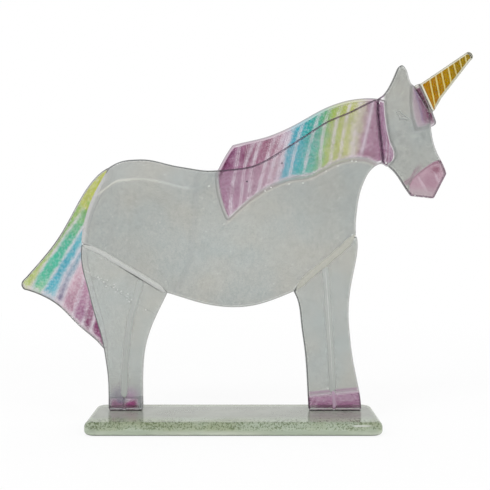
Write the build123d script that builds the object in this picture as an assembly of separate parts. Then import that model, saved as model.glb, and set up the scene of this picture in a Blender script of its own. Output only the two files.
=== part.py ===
from build123d import *
import os

# A standing unicorn of fused sheet glass on a glass bar.
# Millimetres, +Z up, the head towards +X, the decorated front towards -Y.
# The origin is on the table, under the middle of the figure's length.

# Overall sizes
FIGURE_LENGTH = 213.0       # tail tip to horn tip
FIGURE_HEIGHT = 168.4       # feet to horn tip

# Glass sheets: a front layer and a rear layer, with a hair of space where they are fused
SHEET_THICKNESS = 3.0
LAYER_SPACE = 0.05
CORNER_RADIUS = 1.2         # fire-polished corners of each cut piece, seen from the front
OUTER_ROUND = 1.0           # melted edges on the free faces
SMALL_CORNER_RADIUS = 0.8   # the same on the small and narrow pieces
SMALL_ROUND = 0.7
INNER_ROUND = 0.3           # edges where the two layers meet

# Base bar
BASE_LENGTH = 133.6
BASE_DEPTH = 45.0
BASE_THICKNESS = 6.0
BASE_CENTRE_X = -6.0
BASE_CORNER_RADIUS = 5.6
BASE_TOP_ROUND = 2.7
BASE_BOTTOM_ROUND = 1.8
PANEL_SETBACK = 27.0        # base's front edge to the panel's front face

# Clear adhesive under the feet
BOND_THICKNESS = 0.3
BOND_MARGIN = 0.5           # how far the adhesive stays inside the foot

# Coloured glass fused into the front of the rear layer
INLAY_DEPTH = 0.4
MANE_RIM = 1.3              # clear glass left round the colours
TAIL_RIM = 0.7
HORN_RIM = 0.8
FORELOCK_RIM = 0.9
HOOF_RIM = 0.7
STRIPE_WIDTH = 0.9          # white stripes of mane and tail
WIDE_STRIPE_WIDTH = 2.4     # the one broad pale stripe of the mane
HORN_STRIPE_WIDTH = 0.75
HOOF_LINE_HEIGHT = 0.8      # light line along the top of the front hooves
NECK_LINE_WIDTH = 1.4       # clear line that parts the mane from its cheek strip
LEG_LINE_WIDTH = 0.9        # clear line between the two hooves of a pair
CUT_OVERRUN = 5.0

# Levels across the panel
PANEL_FRONT = -BASE_DEPTH / 2 + PANEL_SETBACK
FRONT_BACK_FACE = PANEL_FRONT + SHEET_THICKNESS
REAR_FRONT_FACE = FRONT_BACK_FACE + LAYER_SPACE
PANEL_BACK = REAR_FRONT_FACE + SHEET_THICKNESS
FOOT_LEVEL = BASE_THICKNESS + BOND_THICKNESS

# Cut lines, each from one corner of a piece to the next.
# x is a share of FIGURE_LENGTH from the tail tip, z a share of FIGURE_HEIGHT above the feet.
LINE_SHARES = {
    # Front layer: the body, the legs, the head and the horn
    "rump_edge": [(0.135, 0.466), (0.137, 0.499), (0.143, 0.536), (0.153, 0.575), (0.168, 0.617),
                  (0.184, 0.653), (0.195, 0.677)],
    "back_line": [(0.195, 0.677), (0.209, 0.688), (0.229, 0.697), (0.250, 0.700), (0.280, 0.700),
                  (0.309, 0.693), (0.341, 0.683), (0.374, 0.676), (0.405, 0.670), (0.434, 0.670),
                  (0.468, 0.674), (0.508, 0.681), (0.552, 0.706), (0.596, 0.741), (0.640, 0.777),
                  (0.684, 0.811), (0.728, 0.834), (0.764, 0.857), (0.790, 0.871)],
    "neck_gap": [(0.790, 0.871), (0.791, 0.812), (0.796, 0.756), (0.801, 0.689)],
    "throat": [(0.801, 0.689), (0.787, 0.683), (0.773, 0.667), (0.758, 0.632), (0.749, 0.594),
               (0.744, 0.551), (0.742, 0.522), (0.742, 0.494)],
    "shoulder_seam_front": [(0.742, 0.494), (0.717, 0.458), (0.695, 0.434), (0.673, 0.410)],
    "shoulder_seam_back": [(0.673, 0.410), (0.651, 0.388), (0.629, 0.366), (0.604, 0.331)],
    "belly": [(0.604, 0.331), (0.572, 0.314), (0.538, 0.299), (0.507, 0.290), (0.474, 0.287),
              (0.443, 0.289), (0.399, 0.299), (0.364, 0.312), (0.325, 0.327)],
    "haunch_seam_front": [(0.325, 0.327), (0.309, 0.343), (0.292, 0.357), (0.270, 0.373)],
    "haunch_seam_back": [(0.270, 0.373), (0.243, 0.392), (0.210, 0.417), (0.177, 0.442),
                         (0.135, 0.466)],
    "thigh_edge": [(0.135, 0.466), (0.134, 0.432), (0.137, 0.396), (0.146, 0.352), (0.161, 0.279),
                   (0.181, 0.193), (0.189, 0.135), (0.193, 0.098), (0.195, 0.045), (0.195, 0.0)],
    "hind_foot_back": [(0.195, 0.0), (0.230, 0.0)],
    "hind_foot_front": [(0.230, 0.0), (0.272, 0.0)],
    "hind_leg_edge": [(0.272, 0.0), (0.271, 0.073), (0.272, 0.123), (0.277, 0.177),
                      (0.285, 0.215), (0.300, 0.262), (0.325, 0.327)],
    "hind_middle": [(0.270, 0.373), (0.256, 0.310), (0.245, 0.259), (0.239, 0.212),
                    (0.234, 0.156), (0.231, 0.100), (0.230, 0.0)],
    "fore_middle": [(0.673, 0.410), (0.677, 0.338), (0.682, 0.240), (0.687, 0.142),
                    (0.690, 0.064), (0.695, 0.0)],
    "fore_leg_edge": [(0.604, 0.331), (0.612, 0.310), (0.621, 0.239), (0.628, 0.174),
                      (0.634, 0.075), (0.637, 0.0)],
    "fore_foot_back": [(0.637, 0.0), (0.695, 0.0)],
    "fore_foot_front": [(0.695, 0.0), (0.754, 0.0)],
    "chest_edge": [(0.754, 0.0), (0.752, 0.031), (0.736, 0.138), (0.729, 0.208), (0.726, 0.265),
                   (0.727, 0.303), (0.733, 0.359), (0.744, 0.430), (0.746, 0.469), (0.742, 0.494)],
    "ear": [(0.790, 0.871), (0.803, 0.882), (0.817, 0.908), (0.831, 0.947), (0.837, 0.960),
            (0.844, 0.964), (0.851, 0.957), (0.857, 0.940), (0.864, 0.914), (0.870, 0.907)],
    "forehead": [(0.870, 0.907), (0.881, 0.883), (0.892, 0.861), (0.901, 0.841), (0.906, 0.826)],
    "nose_bridge": [(0.906, 0.826), (0.908, 0.792), (0.911, 0.762), (0.922, 0.718),
                    (0.939, 0.673), (0.942, 0.660)],
    "lip": [(0.942, 0.660), (0.914, 0.591)],
    "chin": [(0.914, 0.591), (0.864, 0.598)],
    "jaw": [(0.864, 0.598), (0.840, 0.642), (0.812, 0.682), (0.801, 0.689)],
    "horn_root": [(0.906, 0.826), (0.915, 0.839), (0.930, 0.870)],
    "horn_lower": [(0.930, 0.870), (0.996, 0.978)],
    "horn_tip": [(0.996, 0.978), (1.0, 0.991), (0.994, 1.0), (0.985, 0.998)],
    "horn_upper": [(0.985, 0.998), (0.886, 0.913)],
    "horn_crown": [(0.886, 0.913), (0.870, 0.907)],
    # Rear layer: the tail, the backing pieces, the mane and the forelock
    "tail_outer": [(0.203, 0.682), (0.182, 0.670), (0.161, 0.646), (0.144, 0.618), (0.111, 0.545),
                   (0.079, 0.476), (0.039, 0.412), (0.010, 0.370)],
    "tail_tip": [(0.010, 0.370), (0.0, 0.347), (0.006, 0.335)],
    "tail_lower": [(0.006, 0.335), (0.043, 0.319), (0.083, 0.289), (0.128, 0.233), (0.167, 0.191),
                   (0.191, 0.153)],
    "tail_lap_low": [(0.191, 0.153), (0.186, 0.218), (0.173, 0.285), (0.155, 0.371)],
    "tail_lap_middle": [(0.155, 0.371), (0.147, 0.416), (0.147, 0.469), (0.153, 0.522),
                        (0.164, 0.566), (0.184, 0.614)],
    "tail_lap_top": [(0.184, 0.614), (0.199, 0.645), (0.203, 0.682)],
    "rump_line": [(0.184, 0.614), (0.197, 0.626), (0.214, 0.639), (0.239, 0.644), (0.270, 0.645),
                  (0.309, 0.638), (0.349, 0.625), (0.382, 0.617)],
    "flank_line": [(0.382, 0.617), (0.382, 0.561), (0.377, 0.505), (0.373, 0.449), (0.362, 0.393),
                   (0.347, 0.352), (0.334, 0.324)],
    "groin_corner": [(0.334, 0.324), (0.325, 0.327)],
    "groin_edge": [(0.325, 0.327), (0.300, 0.262)],
    "thigh_joint": [(0.300, 0.262), (0.274, 0.283), (0.225, 0.319), (0.195, 0.346),
                    (0.155, 0.371)],
    "hock_edge": [(0.191, 0.153), (0.193, 0.098), (0.195, 0.045), (0.195, 0.0)],
    "hind_foot": [(0.195, 0.0), (0.272, 0.0)],
    "hind_backing_edge": [(0.272, 0.0), (0.271, 0.073), (0.272, 0.123), (0.277, 0.177),
                          (0.285, 0.215), (0.300, 0.262)],
    "barrel_top": [(0.395, 0.660), (0.431, 0.658)],
    "mane_back_edge": [(0.431, 0.658), (0.432, 0.631), (0.436, 0.600), (0.443, 0.569),
                       (0.452, 0.541), (0.459, 0.526)],
    "mane_lower": [(0.459, 0.526), (0.486, 0.558), (0.521, 0.594), (0.563, 0.624), (0.600, 0.640),
                   (0.640, 0.648), (0.669, 0.665), (0.706, 0.688), (0.742, 0.696), (0.768, 0.693),
                   (0.787, 0.683)],
    "neck_front": [(0.787, 0.683), (0.773, 0.667), (0.758, 0.632), (0.749, 0.594),
                   (0.744, 0.551), (0.742, 0.516)],
    "shoulder_joint": [(0.742, 0.516), (0.690, 0.444), (0.635, 0.390), (0.588, 0.321)],
    "barrel_belly": [(0.588, 0.321), (0.538, 0.299), (0.507, 0.290), (0.474, 0.287),
                     (0.443, 0.289), (0.399, 0.299), (0.369, 0.311), (0.342, 0.320)],
    "barrel_back": [(0.342, 0.320), (0.356, 0.346), (0.372, 0.393), (0.382, 0.449),
                    (0.385, 0.505), (0.391, 0.561), (0.394, 0.617), (0.395, 0.660)],
    "elbow_corner": [(0.588, 0.321), (0.604, 0.331)],
    "chest_corner": [(0.742, 0.494), (0.742, 0.516)],
    "fore_foot": [(0.637, 0.0), (0.754, 0.0)],
    "mane_end": [(0.431, 0.658), (0.439, 0.678), (0.458, 0.721), (0.469, 0.741)],
    "mane_crest": [(0.469, 0.741), (0.508, 0.753), (0.546, 0.765), (0.573, 0.778), (0.608, 0.799),
                   (0.666, 0.840), (0.705, 0.860), (0.745, 0.871), (0.790, 0.872)],
    "poll": [(0.790, 0.872), (0.810, 0.866)],
    "cheek_edge": [(0.810, 0.866), (0.812, 0.826), (0.817, 0.784), (0.824, 0.748), (0.832, 0.720),
                   (0.831, 0.704), (0.812, 0.680)],
    "cheek_foot": [(0.812, 0.680), (0.801, 0.688), (0.787, 0.683)],
    "ear_root": [(0.810, 0.866), (0.809, 0.893)],
    "ear_upper": [(0.809, 0.893), (0.817, 0.908), (0.831, 0.947), (0.837, 0.960),
                  (0.844, 0.964), (0.851, 0.957), (0.857, 0.940), (0.864, 0.914)],
    "forelock_back": [(0.864, 0.914), (0.863, 0.882), (0.863, 0.854), (0.866, 0.823),
                      (0.875, 0.781)],
    "forelock_foot": [(0.875, 0.781), (0.892, 0.783), (0.908, 0.792)],
    "forelock_tuft": [(0.908, 0.792), (0.913, 0.794), (0.921, 0.803), (0.920, 0.813),
                      (0.915, 0.831)],
    "forelock_front": [(0.915, 0.831), (0.907, 0.854), (0.898, 0.879), (0.886, 0.913)],
    "forelock_top": [(0.886, 0.913), (0.872, 0.905), (0.864, 0.914)],
    "head_bridge": [(0.908, 0.792), (0.911, 0.762), (0.922, 0.718), (0.928, 0.700)],
    "muzzle_line": [(0.928, 0.700), (0.915, 0.695), (0.894, 0.678), (0.872, 0.656),
                    (0.859, 0.631)],
    "nose_end": [(0.928, 0.700), (0.939, 0.673), (0.942, 0.660)],
    "muzzle_foot": [(0.864, 0.598), (0.859, 0.631)],
    "jaw_upper": [(0.859, 0.631), (0.812, 0.680)],
    "horn_backing_root": [(0.915, 0.831), (0.930, 0.870)],
}

# Stripe lines from top to bottom, in the same shares.
MANE_STRIPE_SHARES = [
    [(0.486, 0.770), (0.476, 0.672), (0.468, 0.617), (0.466, 0.510)],
    [(0.510, 0.780), (0.495, 0.672), (0.486, 0.572), (0.480, 0.530)],
    [(0.534, 0.790), (0.515, 0.672), (0.503, 0.589), (0.496, 0.550)],
    [(0.558, 0.800), (0.541, 0.684), (0.525, 0.605), (0.518, 0.570)],
    [(0.584, 0.810), (0.561, 0.695), (0.547, 0.625), (0.540, 0.590)],
    [(0.604, 0.820), (0.581, 0.712), (0.567, 0.633), (0.560, 0.600)],
    [(0.636, 0.840), (0.610, 0.737), (0.594, 0.645), (0.588, 0.610)],
    [(0.672, 0.860), (0.647, 0.770), (0.625, 0.653), (0.619, 0.620)],
    [(0.698, 0.880), (0.673, 0.792), (0.661, 0.670), (0.657, 0.640)],
    [(0.721, 0.890), (0.700, 0.806), (0.685, 0.686), (0.681, 0.650)],
    [(0.739, 0.890), (0.722, 0.817), (0.706, 0.700), (0.702, 0.670)],
]
MANE_WIDE_STRIPE_SHARES = [(0.760, 0.890), (0.744, 0.812), (0.731, 0.706), (0.728, 0.670)]
MANE_LAST_STRIPE_SHARES = [(0.783, 0.890), (0.770, 0.798), (0.753, 0.706), (0.748, 0.670)]
CHEEK_STRIPE_SHARES = [(0.806, 0.890), (0.812, 0.800), (0.814, 0.740), (0.808, 0.670)]
TAIL_STRIPE_SHARES = [
    [(0.204, 0.694), (0.170, 0.636), (0.152, 0.600), (0.134, 0.558), (0.119, 0.527),
     (0.098, 0.490), (0.076, 0.448), (0.052, 0.406), (0.034, 0.372), (0.016, 0.324)],
    [(0.155, 0.540), (0.139, 0.515), (0.112, 0.462), (0.096, 0.429), (0.078, 0.393),
     (0.063, 0.363), (0.036, 0.307)],
    [(0.150, 0.490), (0.136, 0.462), (0.123, 0.434), (0.110, 0.407), (0.096, 0.377),
     (0.085, 0.344), (0.070, 0.293)],
    [(0.145, 0.445), (0.134, 0.420), (0.127, 0.403), (0.114, 0.372), (0.103, 0.341),
     (0.094, 0.310), (0.083, 0.273)],
    [(0.150, 0.405), (0.141, 0.375), (0.135, 0.349), (0.127, 0.316), (0.119, 0.282),
     (0.107, 0.237)],
    [(0.160, 0.355), (0.152, 0.324), (0.147, 0.299), (0.143, 0.273), (0.136, 0.240),
     (0.127, 0.200)],
    [(0.165, 0.285), (0.161, 0.256), (0.156, 0.231), (0.147, 0.189)],
]
HORN_STRIPE_SHARES = [
    [(0.906, 0.930), (0.919, 0.850)],
    [(0.919, 0.940), (0.931, 0.862)],
    [(0.932, 0.952), (0.944, 0.880)],
    [(0.947, 0.964), (0.957, 0.900)],
    [(0.959, 0.976), (0.969, 0.925)],
    [(0.971, 0.990), (0.981, 0.942)],
    [(0.983, 1.005), (0.991, 0.958)],
]

# Tops of the coloured hooves, from tail side to head side
HIND_HOOF_TOP_SHARES = [(0.180, 0.034), (0.290, 0.038)]
FORE_HOOF_TOP_SHARES = [(0.620, 0.034), (0.770, 0.052)]

# Colours of the fields between the stripes, with how many fields each colour fills
MANE_COLOUR_FIELDS = [
    ("mane_magenta_glass", 2), ("mane_pink_glass", 4), ("mane_blue_glass", 1),
    ("mane_teal_glass", 2), ("mane_lime_glass", 3), ("mane_purple_glass", 2),
]
TAIL_COLOUR_FIELDS = [
    ("tail_lime_glass", 1), ("tail_green_glass", 1), ("tail_blue_glass", 1),
    ("tail_slate_glass", 1), ("tail_pink_glass", 1), ("tail_mauve_glass", 1),
    ("tail_magenta_glass", 2),
]

# Cut lines that run round each piece
FRONT_PIECES = {
    "torso_glass": ["rump_edge", "back_line", "neck_gap", "throat", "shoulder_seam_front",
                    "shoulder_seam_back", "belly", "haunch_seam_front", "haunch_seam_back"],
    "hind_leg_rear_glass": ["haunch_seam_back", "thigh_edge", "hind_foot_back", "hind_middle"],
    "hind_leg_front_glass": ["haunch_seam_front", "hind_middle", "hind_foot_front",
                             "hind_leg_edge"],
    "fore_leg_rear_glass": ["shoulder_seam_back", "fore_leg_edge", "fore_foot_back",
                            "fore_middle"],
    "fore_leg_front_glass": ["shoulder_seam_front", "fore_middle", "fore_foot_front",
                             "chest_edge"],
    "head_glass": ["neck_gap", "ear", "forehead", "nose_bridge", "lip", "chin", "jaw"],
    "horn_glass": ["forehead", "horn_root", "horn_lower", "horn_tip", "horn_upper", "horn_crown"],
}
TAIL_LINES = ["tail_outer", "tail_tip", "tail_lower", "tail_lap_low", "tail_lap_middle",
              "tail_lap_top"]
HAUNCH_BACKING_LINES = ["tail_lap_middle", "rump_line", "flank_line", "groin_corner",
                        "groin_edge", "thigh_joint"]
HIND_LEG_BACKING_LINES = ["thigh_joint", "tail_lap_low", "hock_edge", "hind_foot",
                          "hind_backing_edge"]
BARREL_BACKING_LINES = ["barrel_top", "mane_back_edge", "mane_lower", "neck_front",
                        "shoulder_joint", "barrel_belly", "barrel_back"]
FORE_LEG_BACKING_LINES = ["shoulder_joint", "elbow_corner", "fore_leg_edge", "fore_foot",
                          "chest_edge", "chest_corner"]
MANE_LINES = ["mane_end", "mane_crest", "poll", "cheek_edge", "cheek_foot", "mane_lower",
              "mane_back_edge"]
HEAD_BACKING_LINES = ["ear_root", "ear_upper", "forelock_back", "forelock_foot", "head_bridge",
                      "muzzle_line", "jaw_upper", "cheek_edge"]
MUZZLE_LINES = ["muzzle_line", "nose_end", "lip", "chin", "muzzle_foot"]
FORELOCK_LINES = ["forelock_back", "forelock_foot", "forelock_tuft", "forelock_front",
                  "forelock_top"]
HORN_BACKING_LINES = ["forelock_front", "horn_backing_root", "horn_lower", "horn_tip",
                      "horn_upper"]
NARROW_PIECES = ["horn_glass"]

TOWARDS_FRONT = -1
TOWARDS_BACK = 1
ALONG_BODY = Axis((0, 0, 0), (1, 0, 0))
DOWN_TAIL = Axis((0, 0, 0), (1, 0, -1))


def place(share, level):
    x = (share[0] - 0.5) * FIGURE_LENGTH
    return Vector(x, level, FOOT_LEVEL + share[1] * FIGURE_HEIGHT)


def curve(points):
    if len(points) == 2:
        return Line(*points)
    return Spline(*points)


def outline(names, level):
    """The flat face inside the named cut lines, which follow each other round the piece."""
    lines = [[place(share, level) for share in LINE_SHARES[name]] for name in names]
    return make_face([curve(points) for points in lines])


def slab(face, thickness, side):
    return extrude(face, thickness, dir=(0, side, 0))


def sheet_piece(names, side, corner_radius=CORNER_RADIUS, outer_round=OUTER_ROUND):
    """One cut piece of sheet glass, its corners and edges melted round."""
    level = FRONT_BACK_FACE if side == TOWARDS_FRONT else REAR_FRONT_FACE
    piece = slab(outline(names, level), SHEET_THICKNESS, side)
    piece = fillet(piece.edges().filter_by(Axis.Y), corner_radius)
    outer_face = piece.faces().sort_by(Axis.Y)[0 if side == TOWARDS_FRONT else -1]
    piece = fillet(outer_face.edges(), outer_round)
    inner_face = piece.faces().sort_by(Axis.Y)[-1 if side == TOWARDS_FRONT else 0]
    return fillet(inner_face.edges(), INNER_ROUND)


def strip(shares, width):
    """A flat strip of one width along a line that runs down the piece."""
    left = [place(share, REAR_FRONT_FACE) - Vector(width / 2, 0, 0) for share in shares]
    right = [point + Vector(width, 0, 0) for point in left]
    return make_face([curve(left), Line(left[-1], right[-1]), curve(right), Line(left[0], right[0])])


def below(shares, rise):
    """The flat area under a line and down past the feet; the rise moves the line up."""
    left = place(shares[0], REAR_FRONT_FACE) + Vector(0, 0, rise)
    right = place(shares[1], REAR_FRONT_FACE) + Vector(0, 0, rise)
    low = FOOT_LEVEL - CUT_OVERRUN
    corners = [left, right, Vector(right.X, right.Y, low), Vector(left.X, left.Y, low)]
    return make_face(Polyline(*corners, close=True))


def rimmed(names, rim):
    """The outline drawn in by a clear rim, with plain curves for its edges."""
    inner = offset(outline(names, REAR_FRONT_FACE), amount=-rim).face()
    return inner.to_splines()


def flat_parts(shape, direction=ALONG_BODY):
    """The separate flat faces of a cut shape, in their order along one direction."""
    return shape.faces().sort_by(direction)


def inlay(faces):
    """Coloured glass as thin solids, one for each face."""
    return [slab(face, INLAY_DEPTH, TOWARDS_BACK) for face in faces]


def striped_fields(field, stripes, colours, direction=ALONG_BODY):
    """Cuts a field into colour fields between its stripes, and returns them by name."""
    fields = flat_parts(field - stripes, direction)
    named = {}
    start = 0
    for name, count in colours:
        named[name] = inlay(fields[start:start + count])
        start += count
    return named


def stripe_inlays(field, stripes):
    return inlay([face for stripe in stripes for face in flat_parts(field & stripe)])


def mane_parts():
    neck_line = strip(LINE_SHARES["neck_gap"], NECK_LINE_WIDTH)
    field, cheek_field = flat_parts(rimmed(MANE_LINES, MANE_RIM) - neck_line)
    stripes = [strip(shares, STRIPE_WIDTH) for shares in MANE_STRIPE_SHARES]
    stripes.append(strip(MANE_WIDE_STRIPE_SHARES, WIDE_STRIPE_WIDTH))
    stripes.append(strip(MANE_LAST_STRIPE_SHARES, STRIPE_WIDTH))
    parts = striped_fields(field, stripes, MANE_COLOUR_FIELDS)
    cheek_stripe = strip(CHEEK_STRIPE_SHARES, STRIPE_WIDTH)
    parts["mane_cheek_glass"] = inlay(flat_parts(cheek_field - cheek_stripe))
    parts["mane_white_stripes"] = stripe_inlays(field, stripes)
    parts["mane_white_stripes"] += stripe_inlays(cheek_field, [cheek_stripe])
    inlays = [solid for solids in parts.values() for solid in solids]
    parts["mane_glass"] = [sheet_piece(MANE_LINES, TOWARDS_BACK) - inlays]
    return parts


def tail_parts():
    body = [outline(FRONT_PIECES[name], REAR_FRONT_FACE)
            for name in ("torso_glass", "hind_leg_rear_glass")]
    field = rimmed(TAIL_LINES, TAIL_RIM) - body
    stripes = [strip(shares, STRIPE_WIDTH) for shares in TAIL_STRIPE_SHARES]
    parts = striped_fields(field, stripes, TAIL_COLOUR_FIELDS, DOWN_TAIL)
    parts["tail_white_stripes"] = stripe_inlays(field, stripes)
    inlays = [solid for solids in parts.values() for solid in solids]
    parts["tail_glass"] = [sheet_piece(TAIL_LINES, TOWARDS_BACK) - inlays]
    return parts


def horn_parts():
    field = rimmed(HORN_BACKING_LINES, HORN_RIM)
    stripes = [strip(shares, HORN_STRIPE_WIDTH) for shares in HORN_STRIPE_SHARES]
    parts = {
        "horn_gold_bands": inlay(flat_parts(field - stripes)),
        "horn_cream_stripes": stripe_inlays(field, stripes),
    }
    inlays = parts["horn_gold_bands"] + parts["horn_cream_stripes"]
    backing = sheet_piece(HORN_BACKING_LINES, TOWARDS_BACK, SMALL_CORNER_RADIUS, SMALL_ROUND)
    parts["horn_backing_glass"] = [backing - inlays]
    return parts


def forelock_parts():
    parts = {"forelock_purple_glass": inlay([rimmed(FORELOCK_LINES, FORELOCK_RIM)])}
    glass = sheet_piece(FORELOCK_LINES, TOWARDS_BACK, SMALL_CORNER_RADIUS, SMALL_ROUND)
    parts["forelock_glass"] = [glass - parts["forelock_purple_glass"]]
    return parts


def leg_pair_parts(name, lines, middle, top):
    """The backing of a pair of legs, with a coloured hoof for each of the two."""
    foot = rimmed(lines, HOOF_RIM) & below(top, 0)
    rear_hoof, front_hoof = flat_parts(foot - strip(LINE_SHARES[middle], LEG_LINE_WIDTH))
    parts = {
        name + "_hoof_rear_glass": inlay([rear_hoof]),
        name + "_hoof_front_glass": inlay([front_hoof]),
    }
    inlays = [solid for solids in parts.values() for solid in solids]
    glass = sheet_piece(lines, TOWARDS_BACK, SMALL_CORNER_RADIUS, SMALL_ROUND)
    parts[name + "_leg_backing_glass"] = [glass - inlays]
    return parts


def fore_leg_parts():
    parts = leg_pair_parts("fore", FORE_LEG_BACKING_LINES, "fore_middle", FORE_HOOF_TOP_SHARES)
    band = below(FORE_HOOF_TOP_SHARES, HOOF_LINE_HEIGHT) - below(FORE_HOOF_TOP_SHARES, 0)
    line = inlay(flat_parts(rimmed(FORE_LEG_BACKING_LINES, HOOF_RIM) & band))
    backing = parts["fore_leg_backing_glass"][0]
    parts["fore_leg_backing_glass"] = [backing - line]
    parts["fore_hoof_white_line"] = line
    return parts


def base_plate():
    middle = Location((BASE_CENTRE_X, 0, BASE_THICKNESS / 2))
    base = middle * Box(BASE_LENGTH, BASE_DEPTH, BASE_THICKNESS)
    base = fillet(base.edges().filter_by(Axis.Z), BASE_CORNER_RADIUS)
    base = fillet(base.faces().sort_by(Axis.Z)[-1].edges(), BASE_TOP_ROUND)
    return fillet(base.faces().sort_by(Axis.Z)[0].edges(), BASE_BOTTOM_ROUND)


def foot_bond(foot):
    """A thin pad of clear adhesive between the base and one pair of feet."""
    start = place(LINE_SHARES[foot][0], PANEL_FRONT).X + BOND_MARGIN
    end = place(LINE_SHARES[foot][-1], PANEL_FRONT).X - BOND_MARGIN
    depth = PANEL_BACK - PANEL_FRONT - 2 * BOND_MARGIN
    centre = Vector((start + end) / 2, (PANEL_FRONT + PANEL_BACK) / 2,
                    BASE_THICKNESS + BOND_THICKNESS / 2)
    pad = Location(centre) * Box(end - start, depth, BOND_THICKNESS)
    return fillet(pad.edges().filter_by(Axis.Z), BOND_MARGIN)


def figure():
    parts = {}
    for name, lines in FRONT_PIECES.items():
        sizes = (SMALL_CORNER_RADIUS, SMALL_ROUND) if name in NARROW_PIECES else ()
        parts[name] = [sheet_piece(lines, TOWARDS_FRONT, *sizes)]
    parts["haunch_backing_glass"] = [sheet_piece(HAUNCH_BACKING_LINES, TOWARDS_BACK)]
    parts["barrel_backing_glass"] = [sheet_piece(BARREL_BACKING_LINES, TOWARDS_BACK)]
    parts["head_backing_glass"] = [
        sheet_piece(HEAD_BACKING_LINES, TOWARDS_BACK, SMALL_CORNER_RADIUS, SMALL_ROUND)]
    parts["muzzle_pink_glass"] = [sheet_piece(MUZZLE_LINES, TOWARDS_BACK)]
    parts.update(tail_parts())
    parts.update(mane_parts())
    parts.update(forelock_parts())
    parts.update(horn_parts())
    parts.update(leg_pair_parts("hind", HIND_LEG_BACKING_LINES, "hind_middle",
                                HIND_HOOF_TOP_SHARES))
    parts.update(fore_leg_parts())
    parts["base_plate"] = [base_plate()]
    parts["hind_foot_bond"] = [foot_bond("hind_foot")]
    parts["fore_foot_bond"] = [foot_bond("fore_foot")]
    return parts


os.makedirs("parts", exist_ok=True)
for node, solids in figure().items():
    shape = solids[0] if len(solids) == 1 else Compound(children=solids)
    export_step(shape, "parts/" + node + ".step")
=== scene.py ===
"""Looks of the fused-glass unicorn: its materials with their painted highlights and shade, melted
seams, blisters and painted glints, and the studio.
"""
import math
import random

import bmesh
import bpy
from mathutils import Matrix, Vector


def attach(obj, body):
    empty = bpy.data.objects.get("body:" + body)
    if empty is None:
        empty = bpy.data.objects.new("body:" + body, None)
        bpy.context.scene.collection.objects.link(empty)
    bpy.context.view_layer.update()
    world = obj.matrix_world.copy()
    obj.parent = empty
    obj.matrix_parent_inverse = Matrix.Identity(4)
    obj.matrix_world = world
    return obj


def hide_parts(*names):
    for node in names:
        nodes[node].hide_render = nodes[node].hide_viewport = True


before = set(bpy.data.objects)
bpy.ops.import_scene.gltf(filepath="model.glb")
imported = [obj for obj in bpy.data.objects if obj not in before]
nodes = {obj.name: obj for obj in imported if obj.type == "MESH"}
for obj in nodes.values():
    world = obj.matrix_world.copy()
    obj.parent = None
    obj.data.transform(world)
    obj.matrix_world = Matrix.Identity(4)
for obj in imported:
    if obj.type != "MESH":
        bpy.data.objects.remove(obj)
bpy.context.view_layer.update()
scene = bpy.context.scene
random.seed(7)

MM = 0.001

# The figure in the CAD model's frame, in millimetres
FIGURE_LENGTH = 213.0
FIGURE_HEIGHT = 168.4
FOOT_LEVEL = 6.3
PANEL_FRONT = 4.5       # y of the front layer's front face
REAR_FRONT = 7.55       # y of the rear layer's front face
BASE_EDGE = -21.0       # y of the base's rounded front edge

# The photograph's camera, in millimetres and pixels of the 490 x 490 frame
CAMERA_PLACE = (-2.5, -449.5, 97.1)
FOCAL_PIXELS = 966.0
AXIS_PIXEL = 241.17
HORIZON_PIXEL = 217.1
IMAGE_SIZE = 490.0


def at_pixel(x, y, level):
    """The point at a photograph pixel, on the plane at that depth, in metres."""
    scale = (level - CAMERA_PLACE[1]) / FOCAL_PIXELS
    return Vector((
        (CAMERA_PLACE[0] + (x - AXIS_PIXEL) * scale) * MM,
        level * MM,
        (CAMERA_PLACE[2] + (HORIZON_PIXEL - y) * scale) * MM,
    ))


def at_share(x, z):
    """The point of the front face at shares of the figure's length and height."""
    return Vector(((x - 0.5) * FIGURE_LENGTH * MM, PANEL_FRONT * MM,
                   (FOOT_LEVEL + z * FIGURE_HEIGHT) * MM))


def share_at(x, y, level=REAR_FRONT):
    """A photograph pixel as shares of the figure's length and height."""
    point = at_pixel(x, y, level)
    return (point.x / MM / FIGURE_LENGTH + 0.5, (point.z / MM - FOOT_LEVEL) / FIGURE_HEIGHT)


# Colours and shader nodes

NOISE_LOW, NOISE_HIGH = 0.2, 0.8        # nearly all of a noise lies between these
MIX_FIRST, MIX_SECOND, MIX_RESULT = 6, 7, 2     # a Mix node's colour sockets
# The rim set below is a painted highlight rim with a painted shade line, as Nodes.edge paints it
FLAT = 0.9997                           # a face that looks this straight ahead has no rim
RIM_SIDE_RANGE = 0.3                    # how softly the rim's dark line fades on its other side
RIM_SIDE_LOW = 0.35                     # what is left of the line there


def linear(color):
    """A colour as seen, 0 to 255, as the linear values that shaders take."""
    values = []
    for part in color:
        part = part / 255
        values.append(part / 12.92 if part <= 0.04045 else ((part + 0.055) / 1.055) ** 2.4)
    return (*values, 1.0)


def add_node(tree, kind, inputs=None, **settings):
    """A new node; inputs gives a value or a link for sockets, by name or number."""
    node = tree.nodes.new(kind)
    for key, value in settings.items():
        setattr(node, key, value)
    for socket, value in (inputs or {}).items():
        put(tree, node.inputs[socket], value)
    return node


def put(tree, socket, value):
    if isinstance(value, bpy.types.NodeSocket):
        tree.links.new(value, socket)
    else:
        socket.default_value = value


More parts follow.
